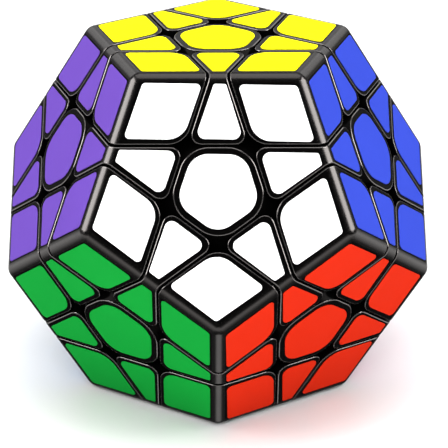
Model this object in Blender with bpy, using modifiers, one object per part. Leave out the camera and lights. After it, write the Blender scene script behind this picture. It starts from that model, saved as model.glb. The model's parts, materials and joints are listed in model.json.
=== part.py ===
"""A twelve-sided twisty puzzle: 20 corners, 30 edges and 12 centres around a core with twelve arms.

Every face is a layer that turns about the line through the core. The parting surface of a layer is a
surface of revolution about that line: a plane near the outside, and two cones, one in each of two
spherical shells, near the core. The inner cone is wider, so each corner has a foot under its edges, and
each edge has a foot under its centres. A screw and a spring hold each centre to the core.

Metres and degrees. The puzzle stands on one face, with the origin at the middle of that face.
"""

import itertools
import math

import bmesh
import bpy
from mathutils import Matrix, Vector

# Outside
FACE_TO_FACE = 0.067
CENTRE_SHARE = 0.375  # the centre's pentagon against the whole face, apothem to apothem
OUTER_ROUND = 0.0023  # radius along the twelve-sided body's own edges
CORNER_FILLET = 0.0042  # radius where a corner points at the centre of a face
EDGE_FILLET = 0.0015  # radius where an edge meets a corner and the centre
CENTRE_FILLET = 0.0058  # radius at the five points of a centre

# Parting surfaces
HALF_GAP = 0.00025  # every piece stops this far short of a parting surface
STEM_CONE = 43.0  # half-angle of a layer in the outer shell, where the stems are
FOOT_CONE = 49.5  # half-angle of a layer in the inner shell, where the feet are
LEDGE_RADIUS = 0.0205  # sphere between the two shells
FOOT_RADIUS = 0.0165  # inside of the feet
STEM_TOP = 0.0310  # a stem ends this far out, inside its block
NECK_OVERLAP = 0.0010  # how far a neck reaches into the foot and the stem that it joins
NECK_HALF_LENGTH = 0.0026  # an edge's neck, along the edge
NECK_HALF_WIDTH = 0.0034
FLANGE_STEP = 0.0004  # the flange of a centre is this much smaller than its cap

# Core, screws and springs
CORE_RADIUS = 0.0092
ARM_RADIUS = 0.0031
ARM_ROOT = 0.0065  # an arm starts this far out, inside the core
ARM_TOP = 0.0162
ARM_SOCKET_RADIUS = 0.0015
ARM_SOCKET_BOTTOM = 0.0098
SHANK_RADIUS = 0.0012
SHANK_BOTTOM = 0.0102
HEAD_RADIUS = 0.0024
HEAD_CROWN_RADIUS = 0.0018
HEAD_BOTTOM = 0.0238
HEAD_TOP = 0.0254
HEAD_RECESS_RADIUS = 0.0010
HEAD_RECESS_DEPTH = 0.0009
BORE_RADIUS = 0.0029
BORE_TOP = 0.0272
WEB_HOLE_RADIUS = 0.0016
WEB_TOP = 0.0181
SPRING_RADIUS = 0.0020
SPRING_WIRE_RADIUS = 0.0003
SPRING_TURNS = 4
SPRING_POINTS_A_TURN = 10
SPRING_CLEARANCE = 0.0003

# Facets
WELD = 0.000003  # points this close after a cut or a join are one point
MERGE = 0.000001  # points this close on an axis are one point
ON_PLANE = 0.0000001  # a point this close to a cutting plane lies on it
CONE_STEPS = 24
DOME_STEPS = 12
DOME_RINGS = 2
DOME_ANGLE = 30.0
TURNED_STEPS = 20
SCREW_STEPS = 12
FILLET_SEGMENTS = 3
ROUND_SEGMENTS = 2
CORE_SUBDIVISIONS = 2
SHARP_ANGLE = 25.0  # edges that turn more than this are shaded sharp

# Proportions of a regular twelve-sided body
NEIGHBOUR_ANGLE = math.degrees(math.atan(2.0))  # between the lines of two faces that share an edge
PARALLEL = 0.999  # unit vectors whose product is more than this point the same way
INRADIUS = FACE_TO_FACE / 2
FACE_APOTHEM = INRADIUS * math.tan(math.radians(NEIGHBOUR_ANGLE) / 2)
CUT_DEPTH = INRADIUS * math.cos(math.radians(NEIGHBOUR_ANGLE)) + (
    CENTRE_SHARE * FACE_APOTHEM * math.sin(math.radians(NEIGHBOUR_ANGLE))
)  # from the core's middle to the plane under a layer

TURNING_FACES = ("purple", "blue", "cream")
UPPER_COLOURS = ("white", "blue", "light_green", "orange", "purple")
LOWER_COLOURS = ("red", "pink", "grey", "light_blue", "green")
FRONT_AZIMUTH = -90.0
CORE_CENTRE = Vector((0.0, 0.0, INRADIUS))


def face_lines():
    """Colour name to the unit vector out of the core through the middle of that face."""
    lines = {"yellow": Vector((0, 0, 1)), "cream": Vector((0, 0, -1))}
    across = math.sin(math.radians(NEIGHBOUR_ANGLE))
    up = math.cos(math.radians(NEIGHBOUR_ANGLE))
    for ring, start, height in (
        (UPPER_COLOURS, FRONT_AZIMUTH, up),
        (LOWER_COLOURS, FRONT_AZIMUTH + 36.0, -up),
    ):
        for k, colour in enumerate(ring):
            azimuth = math.radians(start + 72.0 * k)
            lines[colour] = Vector(
                (across * math.cos(azimuth), across * math.sin(azimuth), height)
            )
    return lines


LINES = face_lines()


def touching(a, b):
    """True if two faces share an edge. The lines of faces that don't are over a right angle apart."""
    return a != b and LINES[a].dot(LINES[b]) > 0


def neighbours(*faces):
    """The faces that share an edge with all of these."""
    return [f for f in LINES if all(touching(f, g) for g in faces)]


def turn_onto(first, second):
    """Rotation whose local X and XY plane go to the lines of two neighbouring faces."""
    x = LINES[first]
    z = x.cross(LINES[second]).normalized()
    return Matrix((x, z.cross(x), z)).transposed()


def clear_scene():
    for obj in list(bpy.data.objects):
        bpy.data.objects.remove(obj, do_unlink=True)


def new_collection(name):
    collection = bpy.data.collections.new(name)
    bpy.context.scene.collection.children.link(collection)
    return collection


def object_from(bm, name):
    mesh = bpy.data.meshes.new(name)
    bm.to_mesh(mesh)
    bm.free()
    obj = bpy.data.objects.new(name, mesh)
    bpy.context.scene.collection.objects.link(obj)
    return obj


def baked(obj):
    """The object's evaluated mesh, with the object itself removed."""
    bpy.context.view_layer.update()
    graph = bpy.context.evaluated_depsgraph_get()
    mesh = bpy.data.meshes.new_from_object(obj.evaluated_get(graph))
    mesh.transform(obj.matrix_world)
    bpy.data.objects.remove(obj, do_unlink=True)
    return mesh


def welded(mesh):
    bm = bmesh.new()
    bm.from_mesh(mesh)
    bmesh.ops.remove_doubles(bm, verts=bm.verts[:], dist=WELD)
    bmesh.ops.dissolve_degenerate(bm, dist=WELD, edges=bm.edges[:])
    bm.to_mesh(mesh)
    bm.free()
    return mesh


def solid(mesh, name):
    obj = bpy.data.objects.new(name, mesh)
    bpy.context.scene.collection.objects.link(obj)
    return obj


def combine(base, tools, operation):
    """The base after each tool is joined, cut or intersected in turn. The tools are used up."""
    for tool in tools:
        modifier = base.modifiers.new(operation.lower(), "BOOLEAN")
        modifier.operation = operation
        modifier.solver = "EXACT"
        modifier.object = tool
    name = base.name
    mesh = welded(baked(base))
    for tool in tools:
        bpy.data.objects.remove(tool, do_unlink=True)
    return solid(mesh, name)


def convex_cell(planes):
    """The space behind every plane. Each plane is (outward unit vector, distance from the core)."""
    bm = bmesh.new()
    bmesh.ops.create_cube(bm, size=4 * INRADIUS)
    for normal, distance in planes:
        cut = bmesh.ops.bisect_plane(
            bm,
            geom=bm.verts[:] + bm.edges[:] + bm.faces[:],
            dist=ON_PLANE,
            plane_co=normal * distance,
            plane_no=normal,
            clear_outer=True,
        )
        rim = [e for e in cut["geom_cut"] if isinstance(e, bmesh.types.BMEdge)]
        bmesh.ops.contextual_create(bm, geom=rim)
    bmesh.ops.recalc_face_normals(bm, faces=bm.faces[:])
    return bm


def round_edges(bm, first, second, radius, segments):
    """Rounds every edge between a face along one of the first normals and one along the second."""

    def along(face, normals):
        return any(face.normal.dot(n) > PARALLEL for n in normals)

    chosen = []
    for edge in bm.edges:
        a, b = edge.link_faces
        if (along(a, first) and along(b, second)) or (
            along(b, first) and along(a, second)
        ):
            chosen.append(edge)
    a, b = chosen[0].link_faces
    bmesh.ops.bevel(
        bm,
        geom=chosen,
        offset=radius * math.tan(a.normal.angle(b.normal) / 2),
        offset_type="OFFSET",
        segments=segments,
        profile=0.5,
        affect="EDGES",
        clamp_overlap=False,
    )


def cone(line, half_angle, offset):
    """A cone about a face's line, from the core outwards. A positive offset makes its wall smaller."""
    height = 2 * INRADIUS
    bm = bmesh.new()
    bmesh.ops.create_cone(
        bm,
        cap_ends=True,
        segments=CONE_STEPS,
        radius1=0.0,
        radius2=height * math.tan(math.radians(half_angle)),
        depth=height,
    )
    bmesh.ops.remove_doubles(bm, verts=bm.verts[:], dist=MERGE)
    apex = offset / math.sin(math.radians(half_angle))
    bm.transform(
        line.to_track_quat("Z", "Y").to_matrix().to_4x4()
        @ Matrix.Translation((0, 0, height / 2 + apex))
    )
    bmesh.ops.recalc_face_normals(bm, faces=bm.faces[:])
    return object_from(bm, "cone")


def turned(profile, steps, line, name):
    """A closed profile of (radius, height) points, from the top down, turned about a line."""
    mesh = bpy.data.meshes.new(name)
    points = [(radius, 0.0, height) for radius, height in profile]
    mesh.from_pydata(points, [(k, k + 1) for k in range(len(points) - 1)], [])
    obj = solid(mesh, name)
    screw = obj.modifiers.new("turn", "SCREW")
    screw.axis = "Z"
    screw.steps = screw.render_steps = steps
    screw.use_merge_vertices = True
    screw.merge_threshold = MERGE
    obj.rotation_mode = "QUATERNION"
    obj.rotation_quaternion = line.to_track_quat("Z", "Y")
    return solid(baked(obj), name)


def arc(radius, start, stop, rings):
    """Points on a sphere about the core, as (radius, height), from one angle to another."""
    angles = [math.radians(start + (stop - start) * k / rings) for k in range(rings + 1)]
    return [(radius * math.sin(a), radius * math.cos(a)) for a in angles]


def dome(line, bottom, top, rings):
    """A stub about a line: a flat bottom at one distance from the core, and a top on a sphere."""
    rim = arc(top, 0, DOME_ANGLE, rings)
    return turned(rim + [(rim[-1][0], bottom), (0, bottom)], DOME_STEPS, line, "dome")


def corner_mesh(faces):
    """One corner: a block with three outer faces, a stem, and a foot that its three edges hold down."""
    lines = [LINES[f] for f in faces]
    out = sum(lines, Vector()).normalized()
    inward = [-n for n in lines]
    bm = convex_cell(
        [(n, INRADIUS) for n in lines] + [(n, -(CUT_DEPTH + HALF_GAP)) for n in inward]
    )
    round_edges(bm, inward, inward, CORNER_FILLET, FILLET_SEGMENTS)
    round_edges(bm, lines, lines, OUTER_ROUND, ROUND_SEGMENTS)
    stem = combine(
        dome(out, LEDGE_RADIUS - NECK_OVERLAP, STEM_TOP, 1),
        [cone(n, STEM_CONE, HALF_GAP) for n in lines],
        "INTERSECT",
    )
    foot = combine(
        dome(out, FOOT_RADIUS + HALF_GAP, LEDGE_RADIUS - HALF_GAP, DOME_RINGS),
        [cone(n, FOOT_CONE, HALF_GAP) for n in lines],
        "INTERSECT",
    )
    return baked(combine(object_from(bm, "corner"), [stem, foot], "UNION"))


def edge_mesh(faces):
    """One edge: a block with two outer faces, a stem over the corners' feet, a neck and a foot."""
    lines = [LINES[f] for f in faces]
    ends = [LINES[f] for f in neighbours(*faces)]
    out = sum(lines, Vector()).normalized()
    along = (ends[0] - ends[1]).normalized()
    across = (lines[0] - lines[1]).normalized()
    inward = [-n for n in lines]
    bm = convex_cell(
        [(n, INRADIUS) for n in lines]
        + [(n, -(CUT_DEPTH + HALF_GAP)) for n in inward]
        + [(n, CUT_DEPTH - HALF_GAP) for n in ends]
    )
    round_edges(bm, inward, ends, EDGE_FILLET, FILLET_SEGMENTS)
    round_edges(bm, lines, lines, OUTER_ROUND, ROUND_SEGMENTS)
    stem = combine(
        dome(out, LEDGE_RADIUS + HALF_GAP, STEM_TOP, 1),
        [cone(n, STEM_CONE, HALF_GAP) for n in lines],
        "INTERSECT",
    )
    upper = combine(object_from(bm, "edge"), [stem], "UNION")
    upper = combine(upper, [cone(n, STEM_CONE, -HALF_GAP) for n in ends], "DIFFERENCE")
    foot = combine(
        dome(out, FOOT_RADIUS + HALF_GAP, LEDGE_RADIUS - HALF_GAP, DOME_RINGS),
        [cone(n, FOOT_CONE, HALF_GAP) for n in lines],
        "INTERSECT",
    )
    foot = combine(foot, [cone(n, FOOT_CONE, -HALF_GAP) for n in ends], "DIFFERENCE")
    neck = convex_cell(
        [(out, LEDGE_RADIUS + NECK_OVERLAP), (-out, NECK_OVERLAP - LEDGE_RADIUS)]
        + [(n, NECK_HALF_LENGTH) for n in (along, -along)]
        + [(n, NECK_HALF_WIDTH) for n in (across, -across)]
    )
    return baked(combine(upper, [foot, object_from(neck, "neck")], "UNION"))


def shy(radius, angle):
    """A point on a sphere at an angle from a line, brought in from the parting cone by the gap."""
    away = math.degrees(HALF_GAP / radius)
    return arc(radius, angle - away, angle - away, 1)[0]


CAP_BOTTOM = shy(CUT_DEPTH / math.cos(math.radians(STEM_CONE)), NEIGHBOUR_ANGLE - STEM_CONE)[1]


def centre_solid(face, inside):
    """A five-sided cap over a flange and a stalk, turned down to the profile that is given."""
    line = LINES[face]
    around = [LINES[f] for f in neighbours(face)]
    flange = NEIGHBOUR_ANGLE - STEM_CONE
    stalk = NEIGHBOUR_ANGLE - FOOT_CONE
    ledge = LEDGE_RADIUS + HALF_GAP
    rim = shy(CUT_DEPTH / math.cos(math.radians(STEM_CONE)), flange)
    under = shy(ledge, flange)
    slope = (rim[0] - under[0]) / (rim[1] - under[1])
    radius = rim[0] - FLANGE_STEP
    start = math.degrees(math.atan2(*under))
    stop = math.degrees(math.atan2(*shy(ledge, stalk)))
    top = CAP_BOTTOM + 2 * FLANGE_STEP
    profile = (
        [(0, top), (radius, top), (radius, rim[1] - FLANGE_STEP / slope)]
        + arc(ledge, start, stop, 2)
        + [shy(FOOT_RADIUS + HALF_GAP, stalk)]
    )
    bm = convex_cell(
        [(line, INRADIUS), (-line, -CAP_BOTTOM)] + [(n, CUT_DEPTH - HALF_GAP) for n in around]
    )
    round_edges(bm, around, around, CENTRE_FILLET, FILLET_SEGMENTS)
    below = turned(profile + inside(profile[-1][1]), TURNED_STEPS, line, "stalk")
    return combine(object_from(bm, "cap"), [below], "UNION")


def centre_mesh(face):
    """A centre that turns, with a bore in its stalk for its spring and screw."""
    centre = centre_solid(face, lambda foot: [(0, foot)])
    bore = turned(
        [
            (0, BORE_TOP),
            (BORE_RADIUS, BORE_TOP),
            (BORE_RADIUS, WEB_TOP),
            (WEB_HOLE_RADIUS, WEB_TOP),
            (WEB_HOLE_RADIUS, ARM_ROOT),
            (0, ARM_ROOT),
        ],
        TURNED_STEPS,
        LINES[face],
        "bore",
    )
    return baked(combine(centre, [bore], "DIFFERENCE"))


def fixed_centre(face):
    """A centre that stays on its arm, as one solid with the arm."""
    return centre_solid(
        face, lambda foot: [(ARM_RADIUS, foot), (ARM_RADIUS, ARM_ROOT), (0, ARM_ROOT)]
    )


def post(face, radius, bottom, top):
    """A round bar along a face's line."""
    profile = [(0, top), (radius, top), (radius, bottom), (0, bottom)]
    return turned(profile, SCREW_STEPS, LINES[face], "post")


def core_mesh():
    """The core with its twelve arms. Nine carry their centres, and three have sockets for screws."""
    bm = bmesh.new()
    bmesh.ops.create_icosphere(bm, subdivisions=CORE_SUBDIVISIONS, radius=CORE_RADIUS)
    fixed = [fixed_centre(f) for f in LINES if f not in TURNING_FACES]
    arms = [post(f, ARM_RADIUS, ARM_ROOT, ARM_TOP) for f in TURNING_FACES]
    sockets = [
        post(f, ARM_SOCKET_RADIUS, ARM_SOCKET_BOTTOM, 2 * ARM_TOP) for f in TURNING_FACES
    ]
    core = combine(object_from(bm, "core"), fixed + arms, "UNION")
    return baked(combine(core, sockets, "DIFFERENCE"))


def screw_mesh(face):
    """A round-headed screw with a driver recess, from its socket in the core to the spring's top."""
    profile = [
        (0, HEAD_TOP - HEAD_RECESS_DEPTH),
        (HEAD_RECESS_RADIUS, HEAD_TOP - HEAD_RECESS_DEPTH),
        (HEAD_RECESS_RADIUS, HEAD_TOP),
        (HEAD_CROWN_RADIUS, HEAD_TOP),
        (HEAD_RADIUS, (HEAD_TOP + HEAD_BOTTOM) / 2),
        (HEAD_RADIUS, HEAD_BOTTOM),
        (SHANK_RADIUS, HEAD_BOTTOM),
        (SHANK_RADIUS, SHANK_BOTTOM + SHANK_RADIUS / 2),
        (0, SHANK_BOTTOM),
    ]
    return baked(turned(profile, SCREW_STEPS, LINES[face], "screw"))


def spring_mesh(face):
    """An open coil between the web of a centre's stalk and the head of its screw."""
    low = WEB_TOP + SPRING_CLEARANCE + SPRING_WIRE_RADIUS
    high = HEAD_BOTTOM - SPRING_CLEARANCE - SPRING_WIRE_RADIUS
    curve = bpy.data.curves.new("spring", "CURVE")
    curve.dimensions = "3D"
    curve.bevel_depth = SPRING_WIRE_RADIUS
    curve.bevel_resolution = 1
    curve.use_fill_caps = True
    count = SPRING_TURNS * SPRING_POINTS_A_TURN + 1
    spline = curve.splines.new("POLY")
    spline.points.add(count - 1)
    for k, point in enumerate(spline.points):
        turn = 2 * math.pi * k / SPRING_POINTS_A_TURN
        height = low + (high - low) * k / (count - 1)
        point.co = (SPRING_RADIUS * math.cos(turn), SPRING_RADIUS * math.sin(turn), height, 1)
    obj = bpy.data.objects.new("spring", curve)
    bpy.context.scene.collection.objects.link(obj)
    obj.rotation_mode = "QUATERNION"
    obj.rotation_quaternion = LINES[face].to_track_quat("Z", "Y")
    return welded(baked(obj))


def material(name, colour, roughness, metallic=0.0):
    made = bpy.data.materials.new(name)
    made.use_nodes = True
    shader = made.node_tree.nodes["Principled BSDF"]
    shader.inputs["Base Color"].default_value = (*colour, 1.0)
    shader.inputs["Roughness"].default_value = roughness
    shader.inputs["Metallic"].default_value = metallic
    return made


def layer_empty(face, collection):
    """An empty at the core's middle whose local Z is the line that the face turns about."""
    empty = bpy.data.objects.new(f"turn_{face}", None)
    collection.objects.link(empty)
    empty.matrix_world = (
        Matrix.Translation(CORE_CENTRE) @ LINES[face].to_track_quat("Z", "Y").to_matrix().to_4x4()
    )
    return empty


def place(mesh, name, rotation, faces, layers, collection):
    """Adds a piece, hung on the empty of the turning layer that it belongs to, if any."""
    obj = bpy.data.objects.new(name, mesh)
    collection.objects.link(obj)
    for face in faces:
        if face in layers:
            obj.parent = layers[face]
            obj.matrix_parent_inverse = layers[face].matrix_world.inverted()
    obj.rotation_mode = "QUATERNION"
    obj.rotation_quaternion = rotation.to_quaternion()
    obj.location = CORE_CENTRE
    return obj


def finished(mesh, made_material):
    mesh.materials.clear()
    mesh.materials.append(made_material)
    mesh.shade_smooth()
    mesh.set_sharp_from_angle(angle=math.radians(SHARP_ANGLE))
    return mesh


def build():
    clear_scene()
    puzzle = new_collection("twelve_sided_puzzle")
    plastic = material("black_plastic", (0.012, 0.012, 0.013), 0.3)
    steel = material("zinc_steel", (0.62, 0.62, 0.60), 0.3, 1.0)
    layers = {face: layer_empty(face, puzzle) for face in TURNING_FACES}
    bpy.context.view_layer.update()
    no_turn = Matrix.Identity(3)

    corners = [
        c
        for c in itertools.combinations(LINES, 3)
        if all(touching(a, b) for a, b in itertools.combinations(c, 2))
    ]
    for k, corner in enumerate(corners):
        a, b, c = corner
        if LINES[a].cross(LINES[b]).dot(LINES[c]) < 0:
            corners[k] = (a, c, b)
    edges = [e for e in itertools.combinations(LINES, 2) if touching(*e)]

    mesh = finished(corner_mesh(corners[0]), plastic)
    back = turn_onto(*corners[0][:2]).transposed()
    for corner in corners:
        place(
            mesh,
            "corner_" + "_".join(corner),
            turn_onto(*corner[:2]) @ back,
            corner,
            layers,
            puzzle,
        )

    mesh = finished(edge_mesh(edges[0]), plastic)
    back = turn_onto(*edges[0]).transposed()
    for edge in edges:
        place(mesh, "edge_" + "_".join(edge), turn_onto(*edge) @ back, edge, layers, puzzle)

    for face in TURNING_FACES:
        place(
            finished(centre_mesh(face), plastic), f"centre_{face}", no_turn, [face], layers, puzzle
        )
        place(finished(screw_mesh(face), steel), f"screw_{face}", no_turn, [], layers, puzzle)
        place(finished(spring_mesh(face), steel), f"spring_{face}", no_turn, [], layers, puzzle)
    place(finished(core_mesh(), plastic), "core_with_nine_centres", no_turn, [], layers, puzzle)


build()
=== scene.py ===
"""Looks for a twelve-sided twisty puzzle: rounded pieces, vinyl stickers and the inner parts."""

import json
import math

import bmesh
import bpy
from mathutils import Matrix, Vector

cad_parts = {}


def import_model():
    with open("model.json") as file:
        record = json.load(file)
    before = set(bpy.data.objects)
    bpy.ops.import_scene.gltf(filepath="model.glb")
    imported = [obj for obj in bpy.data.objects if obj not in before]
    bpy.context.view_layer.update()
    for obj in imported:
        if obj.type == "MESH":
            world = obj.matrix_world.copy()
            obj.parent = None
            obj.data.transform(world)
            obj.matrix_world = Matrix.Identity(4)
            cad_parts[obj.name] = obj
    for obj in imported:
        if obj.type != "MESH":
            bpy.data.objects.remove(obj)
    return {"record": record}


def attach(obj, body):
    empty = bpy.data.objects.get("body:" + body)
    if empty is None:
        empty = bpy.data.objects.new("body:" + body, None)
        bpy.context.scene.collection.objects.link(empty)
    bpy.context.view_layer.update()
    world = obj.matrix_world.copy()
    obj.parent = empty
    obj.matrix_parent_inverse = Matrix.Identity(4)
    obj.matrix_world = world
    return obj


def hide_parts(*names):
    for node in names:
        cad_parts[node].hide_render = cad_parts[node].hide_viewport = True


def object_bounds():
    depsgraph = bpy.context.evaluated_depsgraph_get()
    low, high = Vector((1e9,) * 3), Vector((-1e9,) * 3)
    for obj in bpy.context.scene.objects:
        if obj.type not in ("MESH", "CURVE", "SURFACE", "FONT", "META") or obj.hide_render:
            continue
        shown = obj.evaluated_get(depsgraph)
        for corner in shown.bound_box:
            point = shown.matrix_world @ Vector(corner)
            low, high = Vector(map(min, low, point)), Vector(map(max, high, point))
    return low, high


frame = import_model()
cad_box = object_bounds()

MM = 0.001

# Layout, which follows the solids
INRADIUS = (cad_box[1][2] - cad_box[0][2]) / 2
CORE = Vector((0.0, 0.0, INRADIUS))
NEIGHBOUR = math.atan(2.0)  # angle between the lines of two faces that share an edge
FACE_APOTHEM = INRADIUS * math.tan(NEIGHBOUR / 2)
EDGE_LENGTH = 2 * FACE_APOTHEM * math.tan(math.radians(36))
CENTRE_APOTHEM = 0.375 * FACE_APOTHEM
CUT = INRADIUS * math.cos(NEIGHBOUR) + CENTRE_APOTHEM * math.sin(NEIGHBOUR)
GAP = 0.22 * MM
FACE_GAP = GAP / math.sin(NEIGHBOUR)
STEM_CONE = math.radians(43.0)
FOOT_CONE = math.radians(49.5)
LEDGE = 20.5 * MM
FOOT = 16.5 * MM
STEM_TOP = 29.4 * MM  # just short of where the stems' cones reach the cut planes

# Rounding of the plastic
BODY_ROUND = 2.3 * MM
CORNER_FILLET = 4.4 * MM
EDGE_FILLET = 1.5 * MM
CENTRE_FILLET = 5.8 * MM
RIM_WIDTH = 0.22 * MM
INNER_BEVEL = 0.16 * MM
RIM_ANGLE = math.radians(35)  # a block's edges sharper than this get a rim
FLAT_ANGLE = math.radians(0.5)  # faces that meet at less than this become one
SHADING_ANGLE = math.radians(50)  # shading breaks at edges sharper than this

# Stickers
VINYL = 0.12 * MM  # thickness
SUNK = 0.02 * MM  # how far a sticker's underside reaches into the plastic
STICKER_BEVEL = 0.05 * MM
SMALL = 0.75 * MM  # radius of a corner sticker's tighter corners
WIDE = 3.9 * MM  # radius of the corners that face the middle of a face
CORNER_MARGINS = (1.85 * MM, 0.85 * MM)  # plastic left bare on the outer and the inner sides
EDGE_MARGINS = (1.8 * MM, 1.05 * MM, 0.65 * MM)  # outer, inner and slanting sides
EDGE_RADII = (0.45 * MM, 1.3 * MM, 1.3 * MM, 0.45 * MM)
CENTRE_MARGIN = 1.14 * MM
ARC_STEPS = 9

# Necks of the edges, from the middle
NECK_REACH = MM
NECK_HALF_LENGTH = 2.6 * MM
NECK_HALF_WIDTH = 3.4 * MM

# Centres and core
WEB_TOP = 18.1 * MM
WEB_HOLE = 1.6 * MM
BORE = 2.9 * MM
BORE_TOP = 27.2 * MM
CORE_RADIUS = 9.2 * MM
INTO_CAP = 0.8 * MM  # how far the stalk reaches up into its cap
STALK_INSET = 0.4 * MM  # how much narrower than the cap's cone the stalk is
SHOULDER = 1.1 * MM  # how far below the cap the stalk's straight side ends

# Springs
SPRING_FROM = 18.75 * MM
SPRING_TO = 23.1 * MM
SPRING_RADIUS = 2 * MM
WIRE_RADIUS = 0.3 * MM
SPRING_TURNS = 4
POINTS_A_TURN = 24

# Facets
ON_PLANE = 1e-8  # a point this close to a cutting plane lies on it
MERGE = 1e-6  # points this close on an axis are one point
WELD = 2e-6  # points this close after a cut are one point
CONE_STEPS = 96
DOME_STEPS = 48
DOME_ANGLE = math.radians(30)
ROUND_SEGMENTS = 8
FILLET_SEGMENTS = 12
RIM_SEGMENTS = 5

UPPER = ("white", "blue", "light_green", "orange", "purple")
LOWER = ("red", "pink", "grey", "light_blue", "green")


def face_lines():
    """Unit vectors from the core through the middle of each face, by colour."""
    lines = {"yellow": Vector((0, 0, 1)), "cream": Vector((0, 0, -1))}
    for ring, start, side in ((UPPER, -90.0, 1), (LOWER, -54.0, -1)):
        for k, colour in enumerate(ring):
            a = math.radians(start + 72 * k)
            flat = math.sin(NEIGHBOUR)
            lines[colour] = Vector(
                (flat * math.cos(a), flat * math.sin(a), side * math.cos(NEIGHBOUR))
            )
    return lines


LINES = face_lines()
BODY_OF = {n: b for b, ns in frame["record"]["behaviour"]["bodies"].items() for n in ns}


def faces_in(node):
    """The face colours that a node's name lists, in order."""
    words, found = node.split("_")[1:], []
    while words:
        take = 2 if words[0] == "light" else 1
        found.append("_".join(words[:take]))
        words = words[take:]
    return found


def turn_onto(first, second):
    """Rotation that takes local X to one face's line, and local XY to the plane of two."""
    x = LINES[first]
    z = x.cross(LINES[second]).normalized()
    return Matrix((x, z.cross(x), z)).transposed()


def around(k):
    """In the local frame, the line of neighbour k of the face whose line is X."""
    a = math.radians(72 * k)
    flat = math.sin(NEIGHBOUR)
    return Vector((math.cos(NEIGHBOUR), flat * math.cos(a), flat * math.sin(a)))


FIRST = Vector((1, 0, 0))

# ---------------------------------------------------------------- mesh tools


def cell(planes):
    """The convex space behind every plane (outward unit vector, distance)."""
    bm = bmesh.new()
    bmesh.ops.create_cube(bm, size=4 * INRADIUS)
    for normal, distance in planes:
        cut = bmesh.ops.bisect_plane(
            bm,
            geom=bm.verts[:] + bm.edges[:] + bm.faces[:],
            dist=ON_PLANE,
            plane_co=normal * distance,
            plane_no=normal,
            clear_outer=True,
        )
        rim = [e for e in cut["geom_cut"] if isinstance(e, bmesh.types.BMEdge)]
        bmesh.ops.contextual_create(bm, geom=rim)
    bmesh.ops.recalc_face_normals(bm, faces=bm.faces[:])
    return bm


# Which of the plastics a face of a piece has: a block's flat sides, its rounded outer edges,
# the thin rims of its sides, painted paler as a highlight, or what lies deep inside
FLAT, ROUNDED, RIM, INNER = range(4)
RIM_LIMIT = INRADIUS - 2.0 * MM  # rims nearer to the core than this are painted as inside


def facing(face, normals):
    return any(face.normal.dot(n) > 0.9999 for n in normals)


def round_between(bm, first, second, radius, segments, paint):
    """Rounds the edges between faces along one of the first normals and one of the second."""
    chosen = []
    for edge in bm.edges:
        a, b = edge.link_faces
        if (facing(a, first) and facing(b, second)) or (
            facing(b, first) and facing(a, second)
        ):
            chosen.append(edge)
    a, b = chosen[0].link_faces
    bmesh.ops.bevel(
        bm,
        geom=chosen,
        offset=radius * math.tan(a.normal.angle(b.normal) / 2),
        offset_type="OFFSET",
        segments=segments,
        profile=0.5,
        affect="EDGES",
        clamp_overlap=False,
        material=paint,
    )


def round_rims(bm, lines):
    """Rounds every edge that is still sharp and paints the rounding paler, a painted highlight.
    Those deep inside are as dark as the walls.
    """
    sharp = [e for e in bm.edges if e.calc_face_angle() > RIM_ANGLE]
    bmesh.ops.bevel(
        bm,
        geom=sharp,
        offset=RIM_WIDTH,
        offset_type="WIDTH",
        segments=RIM_SEGMENTS,
        profile=0.5,
        affect="EDGES",
        clamp_overlap=False,
        loop_slide=True,
        material=RIM,
    )
    for face in bm.faces:
        middle = face.calc_center_median()
        if face.material_index == RIM and max(middle.dot(n) for n in lines) < RIM_LIMIT:
            face.material_index = INNER


def solid(bm, name):
    mesh = bpy.data.meshes.new(name)
    bm.to_mesh(mesh)
    bm.free()
    for made in PLASTICS:
        mesh.materials.append(made)
    obj = bpy.data.objects.new(name, mesh)
    bpy.context.scene.collection.objects.link(obj)
    return obj


def applied(obj):
    """The object's mesh with its modifiers applied. The object is removed."""
    bpy.context.view_layer.update()
    graph = bpy.context.evaluated_depsgraph_get()
    mesh = bpy.data.meshes.new_from_object(obj.evaluated_get(graph))
    mesh.transform(obj.matrix_world)
    bpy.data.objects.remove(obj, do_unlink=True)
    return mesh


def painted(mesh, index):
    """Gives every face of a mesh one of its materials."""
    mesh.polygons.foreach_set("material_index", [index] * len(mesh.polygons))
    return mesh


def boolean(base, tools, operation):
    """The base cut by, joined to or kept within each tool. The tools are used up."""
    for tool in tools:
        modifier = base.modifiers.new(operation, "BOOLEAN")
        modifier.operation = operation
        modifier.solver = "EXACT"
        modifier.object = tool
    name = base.name
    mesh = applied(base)
    for tool in tools:
        bpy.data.objects.remove(tool, do_unlink=True)
    bm = bmesh.new()
    bm.from_mesh(mesh)
    bmesh.ops.remove_doubles(bm, verts=bm.verts[:], dist=WELD)
    bmesh.ops.dissolve_limit(
        bm, angle_limit=FLAT_ANGLE, verts=bm.verts[:], edges=bm.edges[:]
    )
    return solid(bm, name)


def turned(profile, line, steps):
    """A closed (radius, height) profile, from the top down, turned about a line."""
    mesh = bpy.data.meshes.new("turned")
    for made in PLASTICS:
        mesh.materials.append(made)
    mesh.from_pydata(
        [(r, 0, h) for r, h in profile], [(k, k + 1) for k in range(len(profile) - 1)], []
    )
    obj = bpy.data.objects.new("turned", mesh)
    bpy.context.scene.collection.objects.link(obj)
    screw = obj.modifiers.new("turn", "SCREW")
    screw.steps = screw.render_steps = steps
    screw.use_merge_vertices = True
    screw.merge_threshold = MERGE
    obj.rotation_mode = "QUATERNION"
    obj.rotation_quaternion = line.to_track_quat("Z", "Y")
    out = bpy.data.objects.new("turned", painted(applied(obj), INNER))
    bpy.context.scene.collection.objects.link(out)
    return out


def cone(line, half_angle, offset):
    """A cone about a face's line, from the core outwards. A positive offset makes it smaller."""
    reach = 2 * INRADIUS
    apex = offset / math.sin(half_angle)
    wide = reach * math.tan(half_angle)
    return turned([(0, reach + apex), (wide, reach + apex), (0, apex)], line, CONE_STEPS)


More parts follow.
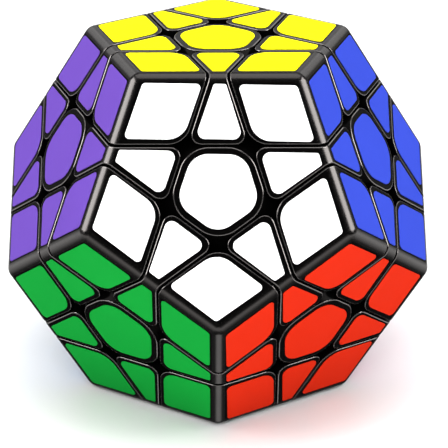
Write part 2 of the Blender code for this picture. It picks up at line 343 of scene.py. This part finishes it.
def arc(radius, start, stop, steps):
    """Points on a sphere about the core, as (radius, height), from one angle to another."""
    return [
        (radius * math.sin(a), radius * math.cos(a))
        for a in (start + (stop - start) * k / steps for k in range(steps + 1))
    ]


def within(obj, lines, half_angle):
    """What of an object lies inside the parting cones of all these faces."""
    return boolean(obj, [cone(n, half_angle, GAP) for n in lines], "INTERSECT")


def clear_of(obj, lines, half_angle):
    """An object cut back from the parting cones of these faces."""
    return boolean(obj, [cone(n, half_angle, -GAP) for n in lines], "DIFFERENCE")


def dome(line, bottom, top, steps=8):
    """A stub about a line: a flat bottom, and a top on a sphere about the core."""
    rim = arc(top, 0, DOME_ANGLE, steps)
    return turned(rim + [(rim[-1][0], bottom), (0, bottom)], line, DOME_STEPS)


def bevelled(obj, width=INNER_BEVEL, angle=28):
    """An inner part's mesh with its sharp edges eased."""
    painted(obj.data, INNER)
    bevel = obj.modifiers.new("bevel", "BEVEL")
    bevel.width = width
    bevel.segments = 2
    bevel.limit_method = "ANGLE"
    bevel.angle_limit = math.radians(angle)
    bevel.use_clamp_overlap = True
    return applied(obj)


def join(meshes, name):
    """One mesh that holds copies of several."""
    bm = bmesh.new()
    for mesh in meshes:
        bm.from_mesh(mesh)
    out = bpy.data.meshes.new(name)
    bm.to_mesh(out)
    bm.free()
    for made in PLASTICS:
        out.materials.append(made)
    return out


def smooth(mesh):
    """Smooth shading that leaves the flat faces flat."""
    mesh.shade_smooth()
    mesh.set_sharp_from_angle(angle=SHADING_ANGLE)
    obj = bpy.data.objects.new("smooth", mesh)
    bpy.context.scene.collection.objects.link(obj)
    weighted = obj.modifiers.new("weighted", "WEIGHTED_NORMAL")
    weighted.weight = 90
    weighted.keep_sharp = True
    return applied(obj)


# ---------------------------------------------------------------- templates
# Each is built around the core, with its first face along local X.


def corner_template():
    lines = [FIRST, around(0), around(1)]
    inward = [-n for n in lines]
    bm = cell(
        [(n, INRADIUS - VINYL) for n in lines] + [(n, -(CUT + GAP)) for n in inward]
    )
    round_between(bm, inward, inward, CORNER_FILLET, FILLET_SEGMENTS, INNER)
    round_between(bm, lines, lines, BODY_ROUND, ROUND_SEGMENTS, ROUNDED)
    round_rims(bm, lines)
    block = applied(solid(bm, "block"))
    out = sum(lines, Vector()).normalized()
    stem = within(dome(out, LEDGE - NECK_REACH, STEM_TOP, 2), lines, STEM_CONE)
    foot = within(dome(out, FOOT + GAP, LEDGE - GAP), lines, FOOT_CONE)
    return smooth(join([block, bevelled(stem), bevelled(foot)], "corner"))


def edge_template():
    lines = [FIRST, around(0)]
    ends = [around(1), around(-1)]
    inward = [-n for n in lines]
    bm = cell(
        [(n, INRADIUS - VINYL) for n in lines]
        + [(n, -(CUT + GAP)) for n in inward]
        + [(n, CUT - GAP) for n in ends]
    )
    round_between(bm, inward, ends, EDGE_FILLET, 10, INNER)
    round_between(bm, lines, lines, BODY_ROUND, ROUND_SEGMENTS, ROUNDED)
    round_rims(bm, lines)
    block = applied(clear_of(solid(bm, "block"), ends, STEM_CONE))
    out = sum(lines, Vector()).normalized()
    stem = within(dome(out, LEDGE + GAP, STEM_TOP, 2), lines, STEM_CONE)
    stem = clear_of(stem, ends, STEM_CONE)
    foot = within(dome(out, FOOT + GAP, LEDGE - GAP), lines, FOOT_CONE)
    foot = clear_of(foot, ends, FOOT_CONE)
    along = (ends[0] - ends[1]).normalized()
    across = (lines[0] - lines[1]).normalized()
    neck = solid(
        cell(
            [(out, LEDGE + NECK_REACH), (-out, NECK_REACH - LEDGE)]
            + [(n, NECK_HALF_LENGTH) for n in (along, -along)]
            + [(n, NECK_HALF_WIDTH) for n in (across, -across)]
        ),
        "neck",
    )
    return smooth(join([block, bevelled(stem), applied(neck), bevelled(foot)], "edge"))


def centre_template():
    ends = [around(k) for k in range(5)]
    flange = NEIGHBOUR - STEM_CONE
    stalk = NEIGHBOUR - FOOT_CONE

    def shy(radius, angle):
        """A point on a sphere, brought in from the parting cone by the gap."""
        return arc(radius, angle - GAP / radius, angle - GAP / radius, 1)[0]

    rim = shy(CUT / math.cos(STEM_CONE), flange)
    bm = cell([(FIRST, INRADIUS - VINYL), (-FIRST, -rim[1])] + [(n, CUT - GAP) for n in ends])
    round_between(bm, ends, ends, CENTRE_FILLET, FILLET_SEGMENTS, INNER)
    round_rims(bm, [FIRST])
    cap = applied(solid(bm, "cap"))
    ledge = LEDGE + GAP
    under = shy(ledge, flange)
    start, stop = math.atan2(*under), math.atan2(*shy(ledge, stalk))
    foot = shy(FOOT + GAP, stalk)
    profile = (
        [(0, rim[1] + INTO_CAP), (rim[0] - STALK_INSET, rim[1] + INTO_CAP)]
        + [(rim[0] - STALK_INSET, rim[1] - SHOULDER)]
        + arc(ledge, start, stop, 5)
        + [foot, (WEB_HOLE, foot[1]), (WEB_HOLE, WEB_TOP), (BORE, WEB_TOP)]
        + [(BORE, BORE_TOP), (0, BORE_TOP)]
    )
    below = bevelled(turned(profile, FIRST, 64), 0.2 * MM, 20)
    return smooth(join([cap, below], "centre"))


# ---------------------------------------------------------------- stickers


def rounded_outline(sides, radii):
    """Points round a convex outline. A side is (direction in degrees, distance from the middle)."""
    corners = []
    count = len(sides)
    for k in range(count):
        (a, p), (b, q) = sides[k], sides[(k + 1) % count]
        a, b = math.radians(a), math.radians(b)
        det = math.sin(b - a)
        x = (p * math.sin(b) - q * math.sin(a)) / det
        y = (q * math.cos(a) - p * math.cos(b)) / det
        corners.append((Vector((x, y)), a, b))
    points = []
    for (corner, a, b), radius in zip(corners, radii):
        turn = (b - a) % (2 * math.pi)
        inward = Vector((math.cos(a + turn / 2), math.sin(a + turn / 2)))
        middle = corner - inward * radius / math.cos(turn / 2)
        for step in range(ARC_STEPS + 1):
            angle = a + turn * step / ARC_STEPS
            points.append(middle + radius * Vector((math.cos(angle), math.sin(angle))))
    return points


def sticker_template(name, sides, radii):
    """A sticker around the core, on the face along local X."""
    bm = bmesh.new()
    low = INRADIUS - VINYL - SUNK
    verts = [bm.verts.new((low, p.x, p.y)) for p in rounded_outline(sides, radii)]
    base = bm.faces.new(verts)
    bm.normal_update()
    if base.normal.x < 0:
        base.normal_flip()
    grown = bmesh.ops.extrude_face_region(bm, geom=[base])
    top = [v for v in grown["geom"] if isinstance(v, bmesh.types.BMVert)]
    bmesh.ops.translate(bm, verts=top, vec=(INRADIUS - low, 0, 0))
    rim = [e for e in bm.edges if all(abs(v.co.x - INRADIUS) < MERGE for v in e.verts)]
    bmesh.ops.recalc_face_normals(bm, faces=bm.faces[:])
    bmesh.ops.bevel(
        bm, geom=rim, offset=STICKER_BEVEL, segments=2, profile=0.5, affect="EDGES"
    )
    return smooth(applied(solid(bm, name)))


# Degrees that a face's stickers, put on by hand, sit round from square
SLIP = {"white": -1.0, "red": 1.0, "blue": 0.4, "yellow": 0.3, "green": 0.3}


def stuck(rotation, face):
    return rotation @ Matrix.Rotation(math.radians(SLIP.get(face, 0.0)), 3, "X")


def corner_sticker():
    """On the first face, between its sides towards neighbours 0 and 1."""
    outer, inner = CORNER_MARGINS
    far = FACE_APOTHEM - outer
    near = CENTRE_APOTHEM + FACE_GAP + inner
    sides = [(0, far), (72, far), (180, -near), (252, -near)]
    return sticker_template("sticker_corner", sides, [SMALL, SMALL, WIDE, SMALL])


def edge_sticker():
    """On the first face, towards neighbour 0."""
    outer, inner, slanting = EDGE_MARGINS
    far = FACE_APOTHEM - outer
    near = CENTRE_APOTHEM + FACE_GAP + inner
    side = CENTRE_APOTHEM - FACE_GAP - slanting
    sides = [(0, far), (72, side), (180, -near), (288, side)]
    return sticker_template("sticker_edge", sides, EDGE_RADII)


def centre_sticker():
    side = CENTRE_APOTHEM - FACE_GAP - CENTRE_MARGIN
    sides = [(72 * k, side) for k in range(5)]
    return sticker_template("sticker_centre", sides, [WIDE] * 5)


# ---------------------------------------------------------------- materials


def shader_of(name):
    """A new material, its node tree and its shader."""
    made = bpy.data.materials.new(name)
    made.use_nodes = True
    return made, made.node_tree, made.node_tree.nodes["Principled BSDF"]


def linked(tree, kind, **inputs):
    """A new node with some of its inputs set."""
    node = tree.nodes.new(kind)
    for key, value in inputs.items():
        node.inputs[key.replace("_", " ")].default_value = value
    return node


def noise(tree, scale, detail):
    where = tree.nodes.new("ShaderNodeTexCoord")
    texture = linked(tree, "ShaderNodeTexNoise", Scale=scale, Detail=detail)
    tree.links.new(where.outputs["Object"], texture.inputs["Vector"])
    return texture


def spread(tree, source, low, high, start=0.0, stop=1.0):
    """The source's start..stop as a number between two limits."""
    ramp = tree.nodes.new("ShaderNodeMapRange")
    ramp.inputs["From Min"].default_value = start
    ramp.inputs["From Max"].default_value = stop
    ramp.inputs["To Min"].default_value = low
    ramp.inputs["To Max"].default_value = high
    tree.links.new(source, ramp.inputs["Value"])
    return ramp.outputs["Result"]


def blend(tree, factor, low, high):
    """Low where the factor is 0, and high, which can be a number, where it is 1."""
    mix = tree.nodes.new("ShaderNodeMix")
    tree.links.new(factor, mix.inputs["Factor"])
    tree.links.new(low, mix.inputs["A"])
    if isinstance(high, float):
        mix.inputs["B"].default_value = high
    else:
        tree.links.new(high, mix.inputs["B"])
    return mix.outputs["Result"]


def bump(tree, shader, source, strength, distance):
    node = linked(tree, "ShaderNodeBump", Strength=strength, Distance=distance)
    tree.links.new(source, node.inputs["Height"])
    tree.links.new(node.outputs["Normal"], shader.inputs["Normal"])


def black_plastic(name, shade, gloss, rough, ior=1.5):
    """Black plastic: how light it is, how strongly it reflects, and how rough it is."""
    made, tree, shader = shader_of(name)
    shader.inputs["Specular IOR Level"].default_value = gloss
    shader.inputs["IOR"].default_value = ior
    shader.inputs["Specular Tint"].default_value = (1.0, 0.93, 0.90, 1)
    grain = noise(tree, 2600, 2)
    haze = noise(tree, 180, 4)
    colours = tree.nodes.new("ShaderNodeValToRGB")
    colours.color_ramp.elements[0].color = (shade * 0.7, shade * 0.68, shade * 0.68, 1)
    colours.color_ramp.elements[1].color = (shade * 1.3, shade * 1.2, shade * 1.18, 1)
    tree.links.new(haze.outputs["Fac"], colours.inputs["Fac"])
    tree.links.new(colours.outputs["Color"], shader.inputs["Base Color"])
    roughness = spread(tree, haze.outputs["Fac"], rough * 0.8, rough * 1.2)
    tree.links.new(roughness, shader.inputs["Roughness"])
    bump(tree, shader, grain.outputs["Fac"], 0.05, 0.00002)
    return made


BLACK = 0.0010
RIM_PAINTED_HIGHLIGHT = 0.03  # painted highlight: the rims are painted a little paler than the black

# In the order of FLAT, ROUNDED, RIM and INNER
PLASTICS = (
    black_plastic("black_plastic", BLACK, 0.10, 0.15),
    black_plastic("black_plastic_rounded", BLACK, 1.0, 0.24),
    # the rim plastic's paler shade is a painted highlight
    black_plastic("black_plastic_rim_painted_highlight", RIM_PAINTED_HIGHLIGHT, 1.0, 0.12, 2.0),
    black_plastic("black_plastic_inner", BLACK, 0.03, 0.2),
)

VINYL_COLOURS = {
    "yellow": (0.86, 0.80, 0.006),
    "white": (0.86, 0.86, 0.86),
    "blue": (0.029, 0.053, 0.42),
    "light_green": (0.10, 0.36, 0.02),
    "orange": (0.60, 0.10, 0.004),
    "purple": (0.112, 0.053, 0.325),
    "red": (0.57, 0.021, 0.0055),
    "pink": (0.72, 0.15, 0.33),
    "grey": (0.12, 0.12, 0.13),
    "light_blue": (0.05, 0.28, 0.58),
    "green": (0.0055, 0.275, 0.033),
    "cream": (0.74, 0.66, 0.42),
}


def vinyl(colour):
    made, tree, shader = shader_of("vinyl_" + colour)
    shader.inputs["Specular IOR Level"].default_value = 0.01
    rgb = VINYL_COLOURS[colour]
    grain = noise(tree, 900, 3)
    haze = noise(tree, 60, 2)
    colours = tree.nodes.new("ShaderNodeValToRGB")
    colours.color_ramp.elements[0].position = 0.3
    colours.color_ramp.elements[1].position = 0.7
    colours.color_ramp.elements[0].color = (*[c * 0.97 for c in rgb], 1)
    colours.color_ramp.elements[1].color = (*[min(1, c * 1.02) for c in rgb], 1)
    tree.links.new(haze.outputs["Fac"], colours.inputs["Fac"])
    tree.links.new(colours.outputs["Color"], shader.inputs["Base Color"])
    tree.links.new(spread(tree, grain.outputs["Fac"], 0.42, 0.52), shader.inputs["Roughness"])
    bump(tree, shader, grain.outputs["Fac"], 0.08, 0.00002)
    return made


def steel():
    made, tree, shader = shader_of("zinc_steel")
    shader.inputs["Metallic"].default_value = 1.0
    haze = noise(tree, 700, 4)
    colours = tree.nodes.new("ShaderNodeValToRGB")
    colours.color_ramp.elements[0].color = (0.52, 0.52, 0.50, 1)
    colours.color_ramp.elements[1].color = (0.70, 0.69, 0.66, 1)
    tree.links.new(haze.outputs["Fac"], colours.inputs["Fac"])
    tree.links.new(colours.outputs["Color"], shader.inputs["Base Color"])
    tree.links.new(spread(tree, haze.outputs["Fac"], 0.2, 0.38), shader.inputs["Roughness"])
    bump(tree, shader, haze.outputs["Fac"], 0.1, 0.00002)
    return made


# ---------------------------------------------------------------- pieces


def put(mesh, name, rotation, body, material=None):
    """A copy of a template, turned into place, riding on a CAD body. No material leaves plastic."""
    own = mesh.copy()
    own.name = name
    if material:
        own.materials.clear()
        own.materials.append(material)
        painted(own, 0)
    obj = bpy.data.objects.new(name, own)
    bpy.context.scene.collection.objects.link(obj)
    own.transform(rotation.to_4x4())
    obj.matrix_world = Matrix.Translation(CORE)
    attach(obj, body)
    return obj


def neighbour_of(face):
    return next(f for f in LINES if f != face and LINES[f].dot(LINES[face]) > 0.4)


def screw_mesh():
    # Radius and height in millimetres, here and for the washer and the core's arms
    profile = [
        (0, 24.5), (1.0, 24.5), (1.0, 25.4), (1.8, 25.4), (2.3, 25.0), (2.4, 24.6),
        (2.4, 23.8), (1.2, 23.8), (1.2, 10.8), (0, 10.2),
    ]
    shape = turned([(r * MM, h * MM) for r, h in profile], FIRST, 32)
    return smooth(bevelled(shape, 0.1 * MM, 30))


def washer_mesh():
    profile = [(1.4, 23.75), (2.6, 23.75), (2.6, 23.45), (1.4, 23.45), (1.4, 23.75)]
    shape = turned([(r * MM, h * MM) for r, h in profile], FIRST, 32)
    return smooth(bevelled(shape, 0.06 * MM, 30))


def spring_mesh():
    curve = bpy.data.curves.new("spring", "CURVE")
    curve.dimensions = "3D"
    curve.bevel_depth = WIRE_RADIUS
    curve.bevel_resolution = 3
    curve.use_fill_caps = True
    spline = curve.splines.new("POLY")
    count = SPRING_TURNS * POINTS_A_TURN + 1
    spline.points.add(count - 1)
    for k, point in enumerate(spline.points):
        a = 2 * math.pi * k / POINTS_A_TURN
        h = SPRING_FROM + (SPRING_TO - SPRING_FROM) * k / (count - 1)
        point.co = (h, SPRING_RADIUS * math.cos(a), SPRING_RADIUS * math.sin(a), 1)
    obj = bpy.data.objects.new("spring", curve)
    bpy.context.scene.collection.objects.link(obj)
    return smooth(applied(obj))


def core_mesh():
    bm = bmesh.new()
    bmesh.ops.create_icosphere(bm, subdivisions=4, radius=CORE_RADIUS)
    parts = [applied(solid(bm, "ball"))]
    for line in LINES.values():
        profile = [(1.5, 9.8), (1.5, 16.2), (3.1, 16.2), (3.1, 9.6), (4.0, 8.4), (1.5, 7.0)]
        parts.append(
            bevelled(turned([(r * MM, h * MM) for r, h in profile], line, 40), 0.2 * MM, 30)
        )
    return smooth(join(parts, "core"))


metal = steel()
vinyls = {colour: vinyl(colour) for colour in LINES}
corner, edge, centre = corner_template(), edge_template(), centre_template()
on_corner, on_edge, on_centre = corner_sticker(), edge_sticker(), centre_sticker()

for node, body in BODY_OF.items():
    kind, faces = node.split("_")[0], faces_in(node)
    if kind == "corner":
        piece = put(corner, "plastic_" + node, turn_onto(*faces[:2]), body)
        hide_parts(node)
        for k in range(3):
            ring = faces[k:] + faces[:k]
            turned_on = stuck(turn_onto(*ring[:2]), ring[0])
            put(on_corner, f"sticker_{ring[0]}_on_{node}", turned_on, body, vinyls[ring[0]])
    elif kind == "edge":
        piece = put(edge, "plastic_" + node, turn_onto(*faces), body)
        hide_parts(node)
        for pair in (faces, faces[::-1]):
            turned_on = stuck(turn_onto(*pair), pair[0])
            put(on_edge, f"sticker_{pair[0]}_on_{node}", turned_on, body, vinyls[pair[0]])

turning = {faces_in(n)[0]: b for n, b in BODY_OF.items() if n.startswith("centre_")}
core = put(core_mesh(), "core_ball", Matrix.Identity(3), "core")
fixed = [core]
screw, spring, washer = screw_mesh(), spring_mesh(), washer_mesh()
for face in LINES:
    body = turning.get(face, "core")
    rotation = turn_onto(face, neighbour_of(face))
    cap = put(centre, "plastic_centre_" + face, rotation, body)
    put(on_centre, f"sticker_{face}_on_centre", stuck(rotation, face), body, vinyls[face])
    driver = put(screw, "steel_screw_" + face, rotation, "core", metal)
    coil = put(spring, "steel_spring_" + face, rotation, "core", metal)
    put(washer, "steel_washer_" + face, rotation, "core", metal)
    if face in turning:
        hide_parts("centre_" + face)
        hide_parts("screw_" + face)
        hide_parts("spring_" + face)
    else:
        fixed.append(cap)
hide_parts("core_with_nine_centres")

# ---------------------------------------------------------------- stage and camera


FLOOR_REACH = 4.0
FLOOR_SHADE = 0.68
FLOOR_GLOW_SPAN = (0.35, 0.9)  # distances between which the floor's painted glow rises, fading it to white

# What the plastic reflects from the room, besides the lights
FRONT_SKY, BACK_SKY = 0.01, 0.15
FAR_FLOOR = 1.1  # seen at a slant
NEAR_FLOOR = 0.08  # seen steeply
UNDERNEATH = (0.03, -0.08, -1.0)  # direction of a pale patch straight below
PATCH = 1.1
# and the directions between which one gives way to the next
SKY_TURNS = (-0.2, 0.7)  # by Y, from front to back
FLOOR_TURNS = (-0.65, -0.25)  # by Z, from steep to slanting
HORIZON = (-0.2, -0.05)  # by Z, from floor to sky
PATCH_EDGE = (0.965, 0.995)  # by how near to UNDERNEATH

CAMERA_ANGLES = (-0.338, 21.855, 0.044)  # yaw, pitch and roll in degrees
CAMERA_LENS = 242.08
CAMERA_BACK, CAMERA_RIGHT, CAMERA_UP = 18.806, 0.0396, -0.1075  # edge lengths from the core


def floor():
    """A pale floor with a painted glow that rises away from the puzzle, fading it to white."""
    bm = bmesh.new()
    bmesh.ops.create_grid(bm, x_segments=1, y_segments=1, size=FLOOR_REACH)
    obj = solid(bm, "floor")
    made, tree, shader = shader_of("pale_floor")
    shader.inputs["Base Color"].default_value = (FLOOR_SHADE, FLOOR_SHADE, FLOOR_SHADE, 1)
    shader.inputs["Roughness"].default_value = 0.35
    where = tree.nodes.new("ShaderNodeTexCoord")
    distance = tree.nodes.new("ShaderNodeVectorMath")
    distance.operation = "LENGTH"
    tree.links.new(where.outputs["Object"], distance.inputs[0])
    # painted light: the floor glows, more strongly further from the puzzle
    glow = spread(tree, distance.outputs["Value"], 0.0, 1.0, *FLOOR_GLOW_SPAN)
    shader.inputs["Emission Color"].default_value = (1.0, 1.0, 1.0, 1)
    tree.links.new(glow, shader.inputs["Emission Strength"])
    obj.data.materials.clear()
    obj.data.materials.append(made)
    obj.visible_glossy = False


def area(name, place, size, power, shines):
    """A soft light aimed at the core, for highlights alone or for matt surfaces alone."""
    light = bpy.data.lights.new(name, "AREA")
    light.shape = "RECTANGLE"
    light.size, light.size_y = size
    light.energy = power
    obj = bpy.data.objects.new(name, light)
    bpy.context.scene.collection.objects.link(obj)
    obj.location = place
    obj.rotation_mode = "QUATERNION"
    obj.rotation_quaternion = (Vector(place) - CORE).to_track_quat("Z", "Y")
    obj.visible_glossy = shines != "matt"
    obj.visible_diffuse = shines != "highlights"
    obj.visible_camera = False


def world():
    """White to the camera. The plastic sees it dark in front, and pale far off and underneath."""
    made = bpy.data.worlds.new("studio")
    bpy.context.scene.world = made
    made.use_nodes = True
    tree = made.node_tree
    where = tree.nodes.new("ShaderNodeTexCoord")
    split = tree.nodes.new("ShaderNodeSeparateXYZ")
    tree.links.new(where.outputs["Generated"], split.inputs["Vector"])
    above = spread(tree, split.outputs["Y"], FRONT_SKY, BACK_SKY, *SKY_TURNS)
    under = tree.nodes.new("ShaderNodeVectorMath")
    under.operation = "DOT_PRODUCT"
    tree.links.new(where.outputs["Generated"], under.inputs[0])
    under.inputs[1].default_value = UNDERNEATH
    spot = spread(tree, under.outputs["Value"], NEAR_FLOOR, PATCH, *PATCH_EDGE)
    below = spread(tree, split.outputs["Z"], 0.0, FAR_FLOOR, *FLOOR_TURNS)
    both = tree.nodes.new("ShaderNodeMath")
    tree.links.new(spot, both.inputs[0])
    tree.links.new(below, both.inputs[1])
    raised = spread(tree, split.outputs["Z"], 0.0, 1.0, *HORIZON)
    either = blend(tree, raised, both.outputs["Value"], above)
    path = tree.nodes.new("ShaderNodeLightPath")
    seen = blend(tree, path.outputs["Is Camera Ray"], either, 1.0)
    tree.links.new(seen, tree.nodes["Background"].inputs["Color"])


def camera():
    yaw, pitch, roll = (math.radians(d) for d in CAMERA_ANGLES)
    back = Vector(
        (math.sin(yaw) * math.cos(pitch), -math.cos(yaw) * math.cos(pitch), math.sin(pitch))
    )
    right = Vector((math.cos(yaw), math.sin(yaw), 0))
    up = back.cross(right)
    data = bpy.data.cameras.new("camera")
    data.sensor_width = 36.0
    data.lens = CAMERA_LENS
    data.clip_start = 0.01
    obj = bpy.data.objects.new("camera", data)
    bpy.context.scene.collection.objects.link(obj)
    away = CAMERA_BACK * back + CAMERA_RIGHT * right + CAMERA_UP * up
    place = CORE + EDGE_LENGTH * away
    turn = Matrix((right, up, back)).transposed() @ Matrix.Rotation(roll, 3, "Z")
    obj.matrix_world = Matrix.Translation(place) @ turn.to_4x4()
    bpy.context.scene.camera = obj


floor()
area("top_sheet", (0, 0.15, 1.1), (1.0, 0.9), 3.4, "highlights")
area("back_sheet", (0, 1.2, 0.5), (1.0, 0.4), 0.6, "highlights")
area("back_left_box", (-0.6, 0.95, 0.52), (0.5, 0.4), 0.5, "highlights")
area("back_right_box", (0.6, 0.95, 0.52), (0.5, 0.4), 0.5, "highlights")
area("left_box", (-0.91, -0.15, 0.63), (0.75, 0.6), 9, "highlights")
area("right_box", (0.91, -0.15, 0.63), (0.75, 0.6), 9, "highlights")
area("top_fill", (0, 0, 1.2), (1.2, 1.0), 26, "matt")
area("front_fill", (0, -1.0, 0.6), (0.9, 0.6), 14, "matt")
area("left_fill", (-0.9, -0.2, 0.9), (0.7, 0.7), 9, "matt")
area("right_fill", (0.9, -0.2, 0.9), (0.7, 0.7), 9, "matt")
world()
camera()
bpy.context.scene.view_settings.view_transform = "Standard"
